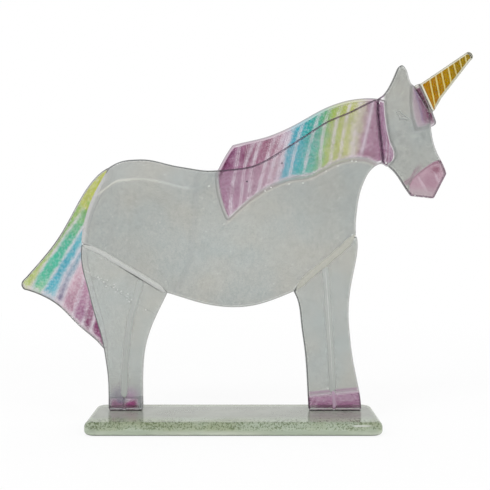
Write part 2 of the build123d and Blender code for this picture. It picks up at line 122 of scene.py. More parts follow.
class Nodes:
    """Short ways to add shader nodes to one material."""

    def __init__(self, name):
        self.material = bpy.data.materials.new(name)
        self.material.use_nodes = True
        self.tree = self.material.node_tree
        self.shader = self.tree.nodes["Principled BSDF"]
        self.place = self.add("ShaderNodeTexCoord").outputs["Object"]
        across, self.depth, self.height = self.add("ShaderNodeSeparateXYZ",
                                                   {0: self.place}).outputs
        # Object x and z as shares of the figure's length and height, as in the CAD source
        self.x = self.plus(self.math("DIVIDE", across, FIGURE_LENGTH * MM), 0.5)
        rise = self.minus(self.height, FOOT_LEVEL * MM)
        self.z = self.math("DIVIDE", rise, FIGURE_HEIGHT * MM)
        normal = self.add("ShaderNodeNewGeometry").outputs["Normal"]
        self.facing = self.add("ShaderNodeSeparateXYZ", {0: normal}).outputs
        self.color = linear((255, 255, 255))

    def add(self, kind, inputs=None, **settings):
        return add_node(self.tree, kind, inputs, **settings)

    def math(self, operation, *values):
        return self.add("ShaderNodeMath", dict(enumerate(values)), operation=operation).outputs[0]

    def plus(self, first, second):
        return self.math("ADD", first, second)

    def minus(self, first, second):
        return self.math("SUBTRACT", first, second)

    def noise(self, size_mm, detail=2.0, roughness=0.5, stretch=(1, 1, 1), offset=0.0):
        """Soft noise, 0 to 1, whose features are about that size."""
        mapping = self.add("ShaderNodeMapping", {
            "Vector": self.place, "Scale": stretch, "Location": (offset, offset, offset)})
        node = self.add("ShaderNodeTexNoise", {
            "Vector": mapping.outputs[0], "Scale": 1 / (size_mm * MM), "Detail": detail,
            "Roughness": roughness})
        return node.outputs["Fac"]

    def spread(self, value, low, high, to_low=0.0, to_high=1.0, kind="SMOOTHSTEP"):
        """The value, from low to high, spread over another range."""
        inputs = dict(enumerate((value, low, high, to_low, to_high)))
        return self.add("ShaderNodeMapRange", inputs, interpolation_type=kind).outputs[0]

    def uneven(self, size_mm, reach, detail=3.0, roughness=0.5, offset=0.0):
        """A shift between minus the reach and the reach, changing over about that size."""
        noise = self.noise(size_mm, detail, roughness, offset=offset)
        return self.spread(noise, NOISE_LOW, NOISE_HIGH, -reach, reach)

    def mix(self, factor, first, second, blend="MIX"):
        inputs = {0: factor, MIX_FIRST: first, MIX_SECOND: second}
        return self.add("ShaderNodeMix", inputs, data_type="RGBA",
                        blend_type=blend).outputs[MIX_RESULT]

    def times(self, color, parts):
        """The colour with its red, green and blue multiplied by the parts."""
        return self.mix(1.0, color, (*parts, 1.0), "MULTIPLY")

    def ramp(self, value, stops):
        """A colour ramp from stops of value and colour as seen."""
        low, high = stops[0][0], stops[-1][0]
        scaled = self.spread(value, low, high, kind="LINEAR")
        node = self.add("ShaderNodeValToRGB", {0: scaled})
        elements = node.color_ramp.elements
        while len(elements) > 1:
            elements.remove(elements[-1])
        elements[0].position, elements[0].color = 0.0, linear(stops[0][1])
        for position, color in stops[1:]:
            elements.new((position - low) / (high - low)).color = linear(color)
        return node.outputs[0]

    def curve(self, value, points):
        """A line's one share for its other, from points of the two."""
        node = self.add("ShaderNodeFloatCurve", {"Value": value})
        line = node.mapping.curves[0]
        for index, point in enumerate(points):
            if index < len(line.points):
                line.points[index].location = point
            else:
                line.points.new(*point)
        node.mapping.update()
        return node.outputs[0]

    def bump(self, height, distance_mm, strength):
        node = self.add("ShaderNodeBump", {
            "Height": height, "Distance": distance_mm * MM, "Strength": strength})
        put(self.tree, self.shader.inputs["Normal"], node.outputs[0])

    def finish(self, transmission, roughness, ior):
        values = {"Base Color": self.color, "Transmission Weight": transmission,
                  "Roughness": roughness, "IOR": ior}
        for name, value in values.items():
            put(self.tree, self.shader.inputs[name], value)
        return self.material

    # Masks, 1 inside and 0 outside

    def above(self, value, limit, soft=0.0008):
        return self.spread(self.minus(value, limit), -soft, soft)

    def along(self, value, line, half_width):
        """A soft line where a share comes near another one; the half width is a share too."""
        gap = self.math("ABSOLUTE", self.minus(value, line))
        return self.spread(gap, half_width, half_width * 0.3)

    def spot(self, pixel, size, soft=0.5, lean=0.0, level=REAR_FRONT):
        """A blot round a photograph pixel; the size is its half width and height in pixels."""
        x, z = share_at(*pixel, level)
        edge_x, edge_z = share_at(pixel[0] + size[0], pixel[1] - size[1], level)
        up = self.minus(self.z, z)
        across = self.minus(self.minus(self.x, x), self.product(up, lean))
        across = self.math("DIVIDE", across, edge_x - x)
        up = self.math("DIVIDE", up, edge_z - z)
        far = self.math("SQRT", self.plus(self.product(across, across), self.product(up, up)))
        far = self.plus(far, self.uneven(2.0, 0.25, detail=2.0))
        return self.spread(far, 1.0 + soft, 1.0 - soft)

    def largest(self, masks):
        total = masks[0]
        for mask in masks[1:]:
            total = self.math("MAXIMUM", total, mask)
        return total

    def product(self, *masks):
        total = masks[0]
        for mask in masks[1:]:
            total = self.math("MULTIPLY", total, mask)
        return total

    # Changes of self.color

    def tint(self, mask, tone, strength=1.0):
        """Mix in some of a tone, a colour as seen, inside the mask."""
        self.color = self.mix(self.product(mask, strength), self.color, linear(tone))

    def shade(self, mask, strength):
        """Make it darker, or lighter where the strength is above 1, inside the mask."""
        self.color = self.mix(mask, self.color, self.times(self.color, (strength,) * 3))

    def blot(self, blots, soft=0.6):
        """Add blots: each a pixel, its half size in pixels, a colour, a strength, maybe a lean."""
        for pixel, size, tone, strength, *lean in blots:
            self.tint(self.spot(pixel, size, soft, *lean), tone, strength)

    def edge(self, dark, pale, dark_edge=0.85, pale_edge=0.93, plain=0.0):
        """Add a painted pale highlight rim, and outside it a painted dark shade line on the edges
        that face up or to the tail.
        """
        flat = self.math("MAXIMUM", self.math("ABSOLUTE", self.facing[1]), plain)
        rim = self.mix(self.spread(flat, pale_edge, FLAT), pale, self.color)
        side = self.minus(self.product(self.facing[2], 0.5), self.product(self.facing[0], 0.8))
        side = self.spread(side, -RIM_SIDE_RANGE, RIM_SIDE_RANGE, RIM_SIDE_LOW, 1.0)
        line = self.product(self.spread(flat, pale_edge, dark_edge), side)
        self.color = self.mix(line, rim, dark)


# Lines of the coloured pieces, in shares of the figure's length and height, as in the CAD source.
# MANE_LOWER to TAIL_LOWER give z for x. MANE_BACK to BODY_EDGE give x for z.
MANE_LOWER = [
    (0.0, 0.200), (0.459, 0.526), (0.486, 0.558), (0.521, 0.594), (0.563, 0.624), (0.600, 0.640),
    (0.640, 0.648), (0.669, 0.665), (0.706, 0.688), (0.742, 0.696), (0.768, 0.693), (0.787, 0.683),
    (1.0, 0.683),
]
MANE_CREST = [
    (0.0, 0.600), (0.439, 0.678), (0.458, 0.721), (0.469, 0.741), (0.508, 0.753), (0.546, 0.765),
    (0.573, 0.778), (0.608, 0.799), (0.666, 0.840), (0.705, 0.860), (0.745, 0.871), (0.790, 0.872),
    (1.0, 0.872),
]
FORELOCK_FOOT = [(0.0, 0.770), (0.875, 0.781), (0.892, 0.783), (0.908, 0.792), (1.0, 0.800)]
MUZZLE_LINE = [
    (0.0, 0.300), (0.859, 0.631), (0.872, 0.656), (0.894, 0.678), (0.915, 0.695), (0.928, 0.700),
    (1.0, 0.705),
]
RUMP_LINE = [
    (0.0, 0.450), (0.184, 0.614), (0.197, 0.626), (0.214, 0.639), (0.239, 0.644), (0.270, 0.645),
    (0.309, 0.638), (0.349, 0.625), (0.382, 0.617), (1.0, 0.600),
]
TAIL_LOWER = [
    (0.0, 0.340), (0.006, 0.335), (0.043, 0.319), (0.083, 0.289), (0.128, 0.233), (0.167, 0.191),
    (0.191, 0.153), (1.0, 0.0),
]
MANE_BACK = [
    (0.0, 0.470), (0.526, 0.459), (0.541, 0.452), (0.569, 0.443), (0.600, 0.436), (0.631, 0.432),
    (0.658, 0.431), (0.678, 0.439), (0.721, 0.458), (1.0, 0.460),
]
CHEEK_EDGE = [
    (0.0, 0.800), (0.680, 0.812), (0.704, 0.831), (0.720, 0.832), (0.748, 0.824), (0.784, 0.817),
    (0.826, 0.812), (0.866, 0.810), (1.0, 0.810),
]
FORELOCK_BACK = [
    (0.0, 0.900), (0.781, 0.875), (0.823, 0.866), (0.854, 0.863), (0.882, 0.863), (0.914, 0.864),
    (1.0, 0.866),
]
FLANK_LINE = [
    (0.0, 0.330), (0.324, 0.340), (0.352, 0.352), (0.393, 0.367), (0.449, 0.378), (0.505, 0.381),
    (0.561, 0.387), (0.617, 0.388), (0.660, 0.390), (1.0, 0.390),
]
BODY_EDGE = [
    (0.0, 0.195), (0.193, 0.181), (0.279, 0.161), (0.352, 0.146), (0.396, 0.137), (0.432, 0.134),
    (0.466, 0.135), (0.499, 0.137), (0.536, 0.143), (0.575, 0.153), (0.617, 0.168), (0.653, 0.184),
    (0.677, 0.195), (1.0, 0.200),
]

# White stripes, as shares from top to bottom, with their half widths in millimetres
MANE_STRIPES = [
    ([(0.486, 0.770), (0.476, 0.672), (0.468, 0.617), (0.466, 0.510)], 1.3),
    ([(0.528, 0.780), (0.495, 0.672), (0.486, 0.572), (0.480, 0.530)], 1.2),
    ([(0.545, 0.790), (0.511, 0.672), (0.503, 0.589), (0.496, 0.550)], 1.3),
    ([(0.576, 0.800), (0.541, 0.684), (0.525, 0.605), (0.518, 0.570)], 1.3),
    ([(0.597, 0.810), (0.561, 0.695), (0.547, 0.625), (0.540, 0.590)], 1.6),
    ([(0.613, 0.820), (0.581, 0.712), (0.567, 0.633), (0.560, 0.600)], 1.7),
    ([(0.636, 0.840), (0.610, 0.737), (0.594, 0.645), (0.588, 0.610)], 1.1),
    ([(0.672, 0.860), (0.647, 0.770), (0.625, 0.653), (0.619, 0.620)], 1.1),
    ([(0.698, 0.880), (0.673, 0.792), (0.661, 0.670), (0.657, 0.640)], 1.1),
    ([(0.721, 0.890), (0.700, 0.806), (0.685, 0.686), (0.681, 0.650)], 1.2),
    ([(0.739, 0.890), (0.722, 0.817), (0.706, 0.700), (0.702, 0.670)], 1.2),
    ([(0.760, 0.890), (0.744, 0.812), (0.731, 0.706), (0.728, 0.670)], 2.0),
    ([(0.783, 0.890), (0.770, 0.798), (0.753, 0.706), (0.748, 0.670)], 1.2),
]
CHEEK_STRIPES = [
    ([(0.806, 0.890), (0.812, 0.800), (0.814, 0.740), (0.808, 0.670)], 1.2),
]
TAIL_STRIPES = [
    ([(0.204, 0.694), (0.170, 0.636), (0.152, 0.600), (0.134, 0.558), (0.119, 0.527),
      (0.098, 0.490), (0.076, 0.448), (0.052, 0.406), (0.034, 0.372), (0.016, 0.324)], 1.3),
    ([(0.155, 0.540), (0.139, 0.515), (0.112, 0.462), (0.096, 0.429), (0.078, 0.393),
      (0.063, 0.363), (0.036, 0.307)], 1.2),
    ([(0.150, 0.490), (0.136, 0.462), (0.123, 0.434), (0.110, 0.407), (0.096, 0.377),
      (0.085, 0.344), (0.070, 0.293)], 1.6),
    ([(0.145, 0.445), (0.134, 0.420), (0.127, 0.403), (0.114, 0.372), (0.103, 0.341),
      (0.094, 0.310), (0.083, 0.273)], 1.4),
    ([(0.150, 0.405), (0.141, 0.375), (0.135, 0.349), (0.127, 0.316), (0.119, 0.282),
      (0.107, 0.237)], 1.4),
    ([(0.160, 0.355), (0.152, 0.324), (0.147, 0.299), (0.143, 0.273), (0.136, 0.240),
      (0.127, 0.200)], 1.3),
    ([(0.165, 0.285), (0.161, 0.256), (0.156, 0.231), (0.147, 0.189)], 1.2),
]

# Body glass

GREY = (188, 190, 186)
GREY_COOL = (183, 189, 187)
GREY_WARM = (190, 190, 183)
SPARK = (232, 233, 230)
CLEAR = (252, 251, 252)
WINDOW = (240, 238, 239)
# Painted shade lines (DARK) and painted highlight rims (PALE) at the rounded edges, as Nodes.edge
# takes them
EDGE_DARK = (98, 100, 100)
EDGE_PALE = (236, 237, 234)
WINDOW_EDGE_DARK = (74, 52, 72)
WINDOW_EDGE_PALE = (150, 138, 150)
# LINE_DARK: painted shade, thin dark outlines of pieces behind the grey glass
LINE_DARK = (120, 116, 120)
LINE_STRENGTH = 0.3
GREY_TRANSMISSION = 0.72
# How far in the painted shade line and the painted highlight rim reach on the grey glass
GREY_DARK_EDGE = 0.94
GREY_PALE_EDGE = 0.97
HAIRLINE = 0.002            # half width of a thin line, as a share

# FLANK_SPAN bounds a band of painted shade
FLANK_SPAN = (0.31, 0.665)  # z of the flank line's ends
# The rump line and its yellow are a painted highlight
RUMP_SPAN = (0.170, 0.375)  # x of the rump line's ends
RUMP_YELLOW_END = 0.25
RUMP_YELLOW = (226, 225, 214)
# Clouds, each a pixel, its half size in pixels and a strength
TORSO_CLOUDS = [((235, 250), (75, 48), 1.10), ((150, 172), (45, 16), 1.05),
                ((342, 192), (34, 26), 0.95)]
# TAIL_SIDE is a painted highlight rim along the body's edge over the tail
TAIL_SIDE_TOP = 0.655
TAIL_SIDE = (222, 220, 220)
MANE_BACK_FOOT = 0.53
MANE_LOWER_START = 0.455
# UNDER_MANE is a painted highlight rim along the mane's lower edge
UNDER_MANE = (206, 202, 194)

CHEEK_FOOT = 0.678
CHEEK_LINE_FOOT = 0.69
MUZZLE_BACK = 0.8605
HEAD_CLOUD = ((412, 150), (24, 30))
# Painted shade just above the muzzle piece's edge: its x span and colour
MUZZLE_SHADE_SPAN = (0.845, 0.882)
MUZZLE_EDGE_SHADE = (160, 122, 142)

# Blots, as Nodes.blot takes them
HIND_HAZE = [((131, 395), (6, 6), (172, 132, 166), 0.6),
             ((119, 395), (6, 8), (124, 112, 132), 0.5)]
HIND_WINDOWS = [((117.5, 405.5), (8.5, 9)), ((131.5, 405), (7.5, 9))]
HIND_WINDOW_TOP = 0.032
HIND_FOOT = (150, 155, 160)
FORE_HOOF_TOP = ((0.62, 0.037), (0.77, 0.055))      # ends of the line along the fore hooves
FORE_CORNERS = [((310.5, 412.5), (6, 5)), ((358.5, 412.5), (6, 5))]
OVER_HOOF = (168, 132, 160)
HOOF_TOP = (222, 206, 218)
LEG_WINDOW_FOOT = 0.005


def torso_paint(build):
    """The clear window over the mane, and the soft painted shade and highlight lines where the rear
    pieces meet.
    """
    x, z = build.x, build.z
    # painted shade: a soft dark band along the flank line, where rear pieces meet behind the glass
    flank = build.product(build.along(x, build.curve(z, FLANK_LINE), 0.011),
                          build.above(z, FLANK_SPAN[0], 0.02), build.above(FLANK_SPAN[1], z, 0.01))
    build.shade(flank, 0.93)
    # painted highlight: a pale line along the rump where the tail's edge lies behind, yellowish
    # towards the tail
    rump = build.product(build.along(z, build.curve(x, RUMP_LINE), 0.006),
                         build.above(x, RUMP_SPAN[0], 0.01), build.above(RUMP_SPAN[1], x, 0.02))
    build.shade(rump, 1.12)
    build.tint(build.product(rump, build.above(RUMP_YELLOW_END, x, 0.04)), RUMP_YELLOW, 0.5)
    for pixel, size, strength in TORSO_CLOUDS:
        build.shade(build.spot(pixel, size, soft=0.7), strength)
    # painted highlight: a pale rim along the body's edge over the tail, where the edge rims are
    # left off
    tail_side = build.along(x, build.plus(build.curve(z, BODY_EDGE), 0.003), 0.008)
    tail_side = build.product(tail_side, build.above(TAIL_SIDE_TOP, z, 0.02))
    build.tint(tail_side, TAIL_SIDE, 0.6)
    lower, back = build.curve(x, MANE_LOWER), build.curve(z, MANE_BACK)
    # painted shade: a thin dark outline where the mane's back edge lies behind the glass
    near_back = build.product(build.along(x, back, HAIRLINE), build.above(z, MANE_BACK_FOOT, 0.01))
    build.tint(near_back, LINE_DARK, LINE_STRENGTH)
    # painted highlight: a pale rim along the mane's lower edge behind the glass
    build.tint(build.product(build.along(z, lower, 0.009), build.above(x, MANE_LOWER_START, 0.01)),
               UNDER_MANE, 0.5)
    window = build.product(build.above(z, build.plus(lower, 0.010), 0.006),
                           build.above(x, build.plus(back, 0.008), 0.004))
    return window, build.spread(tail_side, 0.0, 0.3)


def head_paint(build):
    """Clear windows over the cheek strip, the forelock and the muzzle, in thin outlines of painted
    shade.
    """
    x, z = build.x, build.z
    cheek_edge, lock_edge = build.curve(z, CHEEK_EDGE), build.curve(z, FORELOCK_BACK)
    foot, nose = build.curve(x, FORELOCK_FOOT), build.curve(x, MUZZLE_LINE)
    window = build.largest([
        build.product(build.above(build.minus(cheek_edge, 0.005), x, 0.003),
                      build.above(z, CHEEK_FOOT, 0.006)),
        build.product(build.above(nose, z), build.above(x, MUZZLE_BACK, 0.002)),
        build.product(build.above(x, build.plus(lock_edge, 0.005), 0.003),
                      build.above(z, build.plus(foot, 0.012), 0.006)),
    ])
    # painted shade: thin dark outlines where the cheek strip and the forelock lie behind the glass
    lines = build.largest([
        build.product(build.along(x, cheek_edge, HAIRLINE), build.above(z, CHEEK_LINE_FOOT, 0.01)),
        build.product(build.along(x, lock_edge, HAIRLINE), build.above(z, foot)),
    ])
    build.tint(lines, LINE_DARK, LINE_STRENGTH)
    build.shade(build.spread(build.noise(4.5, 4.0, 0.7, offset=11.0), 0.42, 0.7), 0.86)
    build.shade(build.spot(*HEAD_CLOUD, soft=0.6), 0.96)
    # painted shade: a soft purplish band just above the muzzle piece's edge
    muzzle_shade = build.product(build.along(z, build.plus(nose, 0.010), 0.012),
                          build.above(x, MUZZLE_SHADE_SPAN[0], 0.004),
                          build.above(MUZZLE_SHADE_SPAN[1], x, 0.015))
    build.tint(muzzle_shade, MUZZLE_EDGE_SHADE, 0.6)
    return window, 0.0


def hind_foot(build):
    """The foot's grey streaks and purple haze, and the window over its hooves."""
    streaks = build.noise(2.2, 4.0, 0.7, stretch=(1, 1, 0.45), offset=2.3)
    down = build.spread(build.z, 0.12, 0.02)
    build.tint(build.product(down, build.spread(streaks, 0.3, 0.7, 0.4, 1.0)), HIND_FOOT)
    build.blot(HIND_HAZE, soft=0.9)
    window = build.largest([build.spot(*place, soft=0.3) for place in HIND_WINDOWS])
    return build.product(window, build.above(HIND_WINDOW_TOP, build.z, 0.004))


def fore_foot(build):
    """The light line over the hooves and the purple above it, and the window over the hooves."""
    (low_x, low_z), (high_x, high_z) = FORE_HOOF_TOP
    slope = (high_z - low_z) / (high_x - low_x)
    line = build.plus(build.product(build.minus(build.x, low_x), slope), low_z)
    build.tint(build.along(build.z, build.plus(line, 0.008), 0.006), OVER_HOOF, 0.7)
    top = build.along(build.z, build.minus(line, 0.001), 0.005)
    build.tint(top, HOOF_TOP, 0.8)
    corners = build.largest([*(build.spot(*place) for place in FORE_CORNERS), top])
    return build.product(build.above(line, build.z, 0.003), build.minus(1.0, corners))


def leg_paint(foot_paint, middle, lift):
    """A leg's glass: its foot, a lift in brightness, and no rims along its middle seam."""
    seam_line = [(z, x) for x, z in reversed(middle)]

    def paint(build):
        window = foot_paint(build)
        build.shade(1.0, lift)
        near_seam = build.along(build.x, build.curve(build.z, seam_line), 0.016)
        near_seam = build.spread(near_seam, 0.0, 0.5)
        window = build.product(window, build.above(build.z, LEG_WINDOW_FOOT, 0.002))
        return window, near_seam
    return paint


def grey_glass(name, paint):
    """Milky grey sheet glass with painted highlight rims and shade lines; paint gives masks of its
    clear window and its rimless part.
    """
    build = Nodes(name)
    patches = build.spread(build.noise(30, 2.0), 0.35, 0.65)
    build.color = build.mix(patches, linear(GREY_COOL), linear(GREY_WARM))
    build.tint(build.spread(build.noise(9, 3.0, offset=3.1), 0.3, 0.7, 0.0, 0.6), GREY)
    build.shade(build.spread(build.noise(2.6, 3.0, 0.65, offset=4.4), 0.38, 0.66), 0.94)
    grain = build.noise(1.0, 2.0, 0.6, offset=8.2)
    build.shade(build.spread(grain, 0.42, 0.68), 0.91)
    build.shade(build.spread(grain, 0.42, 0.30), 1.04)
    build.tint(build.spread(build.noise(1.1, 1.0, 0.4, offset=6.1), 0.73, 0.79), SPARK, 0.6)
    window, plain = paint(build)
    build.tint(window, WINDOW)
    # painted shade line and painted highlight rim along the edges, purplish over the clear window
    dark = build.mix(window, linear(EDGE_DARK), linear(WINDOW_EDGE_DARK))
    pale = build.mix(window, linear(EDGE_PALE), linear(WINDOW_EDGE_PALE))
    build.edge(dark, pale, GREY_DARK_EDGE, GREY_PALE_EDGE, plain)
    build.bump(build.plus(grain, build.product(build.noise(14, 1.0), 3.0)), 0.05, 0.5)
    return build.finish(transmission=build.spread(window, 0.0, 1.0, GREY_TRANSMISSION, 1.0),
                        roughness=build.spread(window, 0.0, 1.0, 0.16, 0.04), ior=1.5)


MANE_STOPS = [
    (0.440, (156, 98, 136)), (0.462, (162, 106, 144)), (0.500, (168, 116, 148)),
    (0.540, (176, 132, 156)), (0.568, (190, 156, 172)), (0.579, (186, 176, 194)),
    (0.586, (84, 180, 200)), (0.602, (44, 178, 194)), (0.625, (26, 180, 170)),
    (0.645, (70, 184, 154)), (0.660, (120, 188, 120)), (0.674, (168, 196, 92)),
    (0.697, (186, 198, 98)), (0.722, (196, 202, 128)), (0.738, (194, 186, 164)),
    (0.750, (172, 126, 152)), (0.788, (158, 100, 136)),
]
# The tail's colour fields from its upper edge to the lower one, as stops of z
TAIL_FIELDS = [
    [(0.32, (198, 214, 132)), (0.38, (188, 206, 126)), (0.43, (172, 198, 134)),
     (0.50, (132, 178, 104)), (0.55, (146, 186, 104)), (0.58, (190, 200, 98)),
     (0.66, (200, 208, 126))],
    [(0.31, (160, 212, 152)), (0.36, (98, 196, 162)), (0.42, (72, 192, 162)),
     (0.48, (76, 184, 150)), (0.52, (110, 182, 124)), (0.555, (134, 186, 106)),
     (0.58, (190, 200, 98)), (0.66, (194, 202, 76))],
    [(0.29, (156, 206, 216)), (0.34, (94, 186, 202)), (0.40, (76, 176, 194)),
     (0.46, (104, 188, 200))],
    [(0.27, (150, 134, 162)), (0.31, (144, 136, 160)), (0.36, (162, 168, 184)),
     (0.42, (136, 176, 192))],
    [(0.24, (176, 126, 154)), (0.30, (188, 146, 166)), (0.38, (212, 182, 194))],
    [(0.20, (150, 98, 136)), (0.26, (162, 112, 146)), (0.32, (188, 146, 170))],
    [(0.16, (128, 62, 104)), (0.24, (128, 58, 102)), (0.29, (164, 116, 144))],
    [(0.16, (140, 74, 116)), (0.24, (134, 64, 108))],
]
MANE_SLANT, MANE_MIDDLE = 0.16, 0.690       # lean of the mane's bands, round that height


def mane_gaps(build):
    """How far a place lies under the mane's crest, and over its lower edge, as shares."""
    crest = build.minus(build.curve(build.x, MANE_CREST), build.z)
    return crest, build.minus(build.z, build.curve(build.x, MANE_LOWER))


def tail_gap(build):
    """How far a place lies over the tail's lower edge, as a share."""
    return build.minus(build.z, build.curve(build.x, TAIL_LOWER))


def mane_place(build):
    """x shifted by the slant of the mane's colour bands, a little uneven."""
    lean = build.product(build.minus(build.z, MANE_MIDDLE), MANE_SLANT)
    return build.plus(build.minus(build.x, lean), build.uneven(5, 0.006))


def tail_fields(build):
    """The colour of each field of the tail, changing where its stripes run."""
    place = build.plus(build.z, build.uneven(4, 0.02))
    color = build.ramp(place, TAIL_FIELDS[0])
    for stops, (line, _) in zip(TAIL_FIELDS[1:], TAIL_STRIPES):
        points = [(z, x) for x, z in reversed(line)]
        right = build.above(build.x, build.curve(build.z, points), 0.003)
        color = build.mix(right, color, build.ramp(place, stops))
    return color


def mane_tint(build):
    """A breath of the mane's colours along its upper and lower rims, and in its rear tip."""
    crest, lower = mane_gaps(build)
    tip = build.product(build.spread(build.x, 0.478, 0.466), build.spread(crest, 0.036, 0.020))
    rim = build.spread(build.math("MINIMUM", crest, lower), 0.011, 0.006)
    colored = build.mix(0.65, build.color, build.ramp(mane_place(build), MANE_STOPS))
    build.color = build.mix(build.largest([rim, tip]), build.color, colored)


def tail_tint(build):
    """A breath of the tail's colours along its lower rim."""
    rim = build.product(build.spread(tail_gap(build), 0.012, 0.004), 0.3)
    build.color = build.mix(rim, build.color, tail_fields(build))


def clear_glass(name, color, dark, pale, tint=None, cover=None, ior=1.5):
    """Clear sheet glass with a painted dark shade line and a painted pale highlight rim, plain
    beyond the line of what covers it.
    """
    build = Nodes(name)
    build.color = build.mix(build.spread(build.noise(7, 2.0), 0.3, 0.7), linear(color),
                            linear([value * 0.97 for value in color]))
    build.shade(build.spread(build.noise(0.7, 2.0, 0.6), 0.5, 0.75), 0.94)
    if tint:
        tint(build)
    build.edge(linear(dark), linear(pale))
    if cover:
        build.tint(build.above(build.x, build.curve(build.z, cover), 0.002), CLEAR)
    build.bump(build.noise(5, 2.0), 0.06, 0.4)
    return build.finish(transmission=1.0, roughness=0.04, ior=ior)


# Middle lines of the legs, where the two strips of each meet, as (x, z) shares
FORE_MIDDLE = [(0.673, 0.404), (0.677, 0.338), (0.682, 0.240), (0.687, 0.142), (0.690, 0.064),
               (0.694, 0.004)]
HIND_MIDDLE = [(0.268, 0.366), (0.256, 0.310), (0.245, 0.259), (0.239, 0.212), (0.234, 0.156),
               (0.231, 0.100), (0.230, 0.006)]
# A low IOR keeps dark refraction lines off the walls of the pockets that hold the colours
hind_glass = grey_glass("hind_grey_glass", leg_paint(hind_foot, HIND_MIDDLE, 1.12))
fore_glass = grey_glass("fore_grey_glass", leg_paint(fore_foot, FORE_MIDDLE, 1.07))
backing = clear_glass("backing_glass", (251, 252, 250), (246, 247, 246), (250, 251, 249), ior=1.05)
horn_clear = clear_glass("horn_clear_glass", (240, 239, 230), (172, 171, 160), (218, 216, 203),
                         ior=1.2)
NODE_MATERIALS = {
    "torso_glass": grey_glass("torso_grey_glass", torso_paint),
    "head_glass": grey_glass("head_grey_glass", head_paint),
    "hind_leg_rear_glass": hind_glass, "hind_leg_front_glass": hind_glass,
    "fore_leg_rear_glass": fore_glass, "fore_leg_front_glass": fore_glass,
    "horn_glass": horn_clear, "horn_backing_glass": horn_clear,
    **{part + "_backing_glass": backing
       for part in ("haunch", "barrel", "head", "hind_leg", "fore_leg")},
    "mane_glass": clear_glass("mane_rim_glass", (247, 244, 246), (126, 120, 126), (212, 208, 211),
                              mane_tint, ior=1.12),
    "forelock_glass": clear_glass("forelock_clear_glass", (214, 209, 212), (120, 114, 119),
                                  (196, 190, 195), ior=1.12),
    "tail_glass": clear_glass("tail_rim_glass", (250, 249, 249), (120, 118, 114), (222, 220, 218),
                              tail_tint, cover=BODY_EDGE),
}

# Coloured glass

CHEEK_STOPS = [
    (0.782, (150, 92, 134)), (0.796, (138, 72, 120)), (0.807, (158, 106, 146)),
    (0.816, (194, 170, 184)), (0.832, (204, 188, 198)),
]
FORELOCK_STOPS = [
    (0.866, (216, 210, 212)), (0.882, (202, 184, 194)), (0.886, (166, 138, 174)),
    (0.890, (160, 106, 144)), (0.895, (140, 72, 116)), (0.901, (120, 48, 88)),
    (0.908, (112, 42, 82)), (0.914, (172, 134, 154)), (0.930, (176, 134, 158)),
]
HORN_STOPS = [
    (0.880, (196, 134, 0)), (0.925, (190, 134, 0)), (0.945, (182, 138, 0)),
    (0.970, (176, 140, 4)), (1.0, (166, 138, 16)),
]
CHEEK_SLANT, CHEEK_MIDDLE = 0.11, 0.83
FORELOCK_SLANT, FORELOCK_MIDDLE = 0.2, 0.835
PALE_STRIPE = (224, 218, 225)
POWDER_DEEPER = (0.78, 0.72, 0.76)      # parts left of red, green and blue in the deep blots

# Blots, as Nodes.blot takes them
MANE_BLOTS = [((228, 165), (5, 4), (120, 46, 92), 0.6),
              ((243, 157), (8, 6), (120, 46, 92), 0.4),
              ((366, 156), (9, 5), (140, 72, 108), 0.5)]
MUZZLE_BLOTS = [((435.5, 170), (4.0, 3.4), (142, 76, 104), 0.9),
                ((433, 161.5), (6.0, 2.6), (140, 84, 110), 0.8),
                ((431, 182), (6.0, 8.0), (164, 116, 138), 0.6),
                ((423, 185), (1.4, 8.0), (206, 182, 194), 0.8, -0.45),
                ((437, 178), (1.2, 6.0), (204, 180, 192), 0.8, -0.35)]
FORE_BLOTS = [((324, 407), (8, 4), (128, 58, 110), 0.6),
              ((345, 406), (9, 4), (128, 58, 110), 0.6),
              ((312, 411), (5, 5), (212, 196, 208), 0.8),
              ((357.5, 411), (4, 4), (206, 186, 200), 0.8)]
HIND_BLOTS = [((117, 405), (7, 5.5), (134, 78, 118), 0.85),
              ((120, 400), (3, 3), (112, 102, 128), 0.8),
              ((131.5, 405), (5.5, 5.6), (136, 40, 106), 1.0, 0.3),
              ((131, 398), (3, 3), (180, 150, 174), 0.6),
              # painted highlights: bright pink glints along the hooves' lower rim
              ((118, 410.5), (5, 1.0), (196, 132, 172), 0.9),
              ((133, 411), (5, 1.0), (206, 140, 184), 0.9)]
CHIN = ((420, 195), (16, 6))
CHIN_TONE = (186, 168, 174)
NOSE_LINE = (134, 84, 106)
PINK_SPAN = (0.49, 0.57)        # x of the deeper pink under the mane's crest
PINK_DEEPER = (0.84, 0.72, 0.74)


def powder(build, color, pale=(232, 228, 232), deep=0.5):
    """Powdery colour: fine light grain, and small blots of deeper colour."""
    blots = build.spread(build.noise(3.4, 3.0, 0.6, offset=5.2), 0.4, 0.75, 0.0, deep)
    build.color = build.mix(blots, color, build.times(color, POWDER_DEEPER))
    build.tint(build.spread(build.noise(1.0, 2.0, 0.7, offset=1.7), 0.40, 0.66, 0.0, 0.36), pale)


def add_stripes(build, stripes, strength=0.66, where=1.0):
    """Add soft pale stripes along the given lines, uneven like sifted powder."""
    x = build.plus(build.x, build.uneven(2.0, 0.0012, roughness=0.6, offset=7.7))
    masks = []
    for line, half_width in stripes:
        points = [(z, across) for across, z in reversed(line)]
        gap = build.math("ABSOLUTE", build.minus(x, build.curve(build.z, points)))
        masks.append(build.spread(gap, 1.4 * half_width / FIGURE_LENGTH, 0.0))
    fade = build.spread(build.noise(5, 3.0, 0.6, offset=9.1), 0.3, 0.65, 0.3 * strength, strength)
    build.tint(build.product(build.largest(masks), fade, where), PALE_STRIPE)


